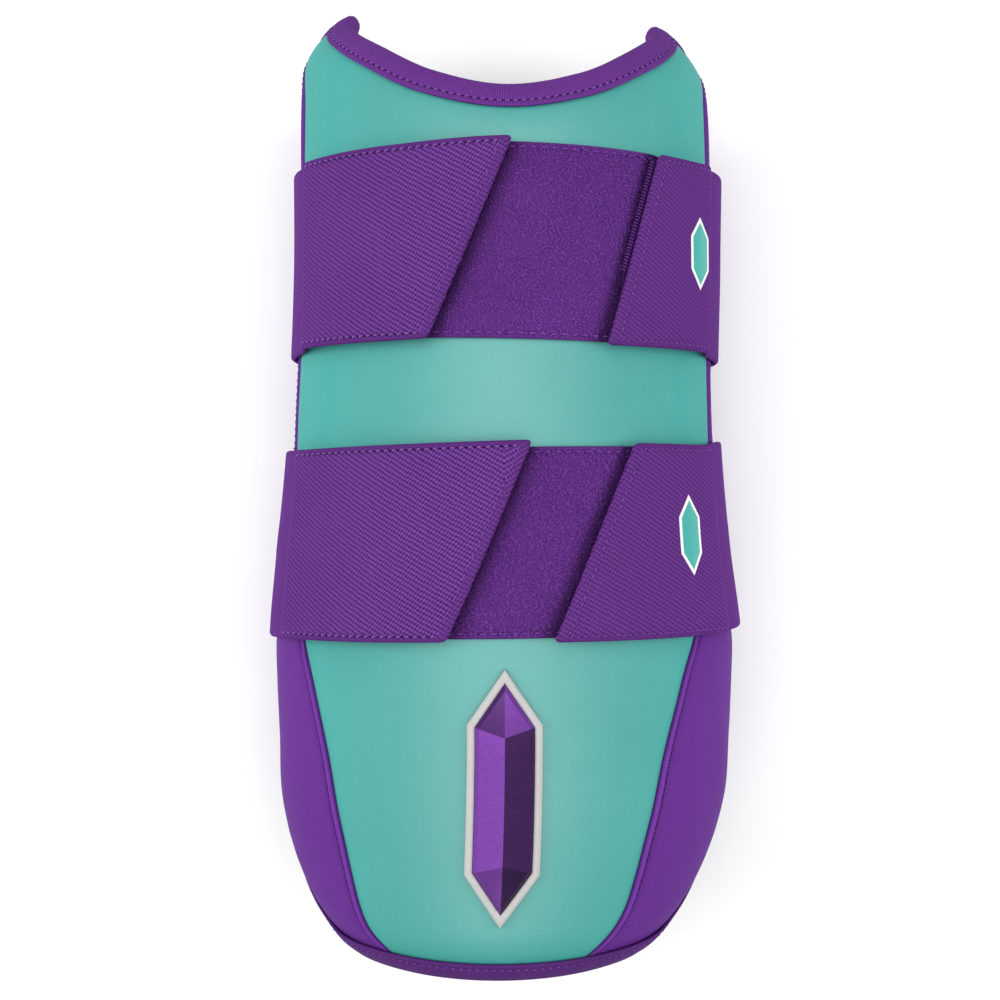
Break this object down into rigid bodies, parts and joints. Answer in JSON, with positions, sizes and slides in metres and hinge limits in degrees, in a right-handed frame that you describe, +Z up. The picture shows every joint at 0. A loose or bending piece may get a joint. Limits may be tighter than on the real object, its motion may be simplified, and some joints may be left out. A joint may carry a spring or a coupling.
{
  "type": "batter's elbow guard",
  "caption": "Padded leather gutter worn over a batter's elbow, bound along its edge, closed at the back by wide elastic hook-and-loop straps.",
  "frame": {"origin": "on the floor, under the middle of the guard's bounding box", "axes": "+X across the guard, to the right as its front is seen with the rim up; +Y from the elbow cup to the scooped rim; +Z up, from the straps' flat backs to the front"},
  "size_m": [0.1338, 0.2576, 0.0902],
  "materials": {
    "teal_leather": "smooth fine grain, low sheen",
    "purple_leather": "smooth fine grain, low sheen",
    "binding_tape": "ribbed grosgrain tape",
    "webbing": "woven elastic, matt",
    "loop_pile": "brushed loop pile",
    "hook_tape": "hook tape, matt",
    "badge_border": "satin",
    "badge_plate": "metallic gloss"
  },
  "bodies": {
    "root": {"front_panel": "teal_leather", "left_side_panel": "purple_leather", "right_side_panel": "purple_leather", "edge_binding": "binding_tape", "upper_loop_band": "loop_pile", "lower_loop_band": "loop_pile", "upper_strap": "webbing", "lower_strap": "webbing", "upper_left_hook_patch": "hook_tape", "upper_right_hook_patch": "hook_tape", "lower_left_hook_patch": "hook_tape", "lower_right_hook_patch": "hook_tape", "badge_border": "badge_border", "badge_plate": "badge_plate"}
  },
  "joints": []
}
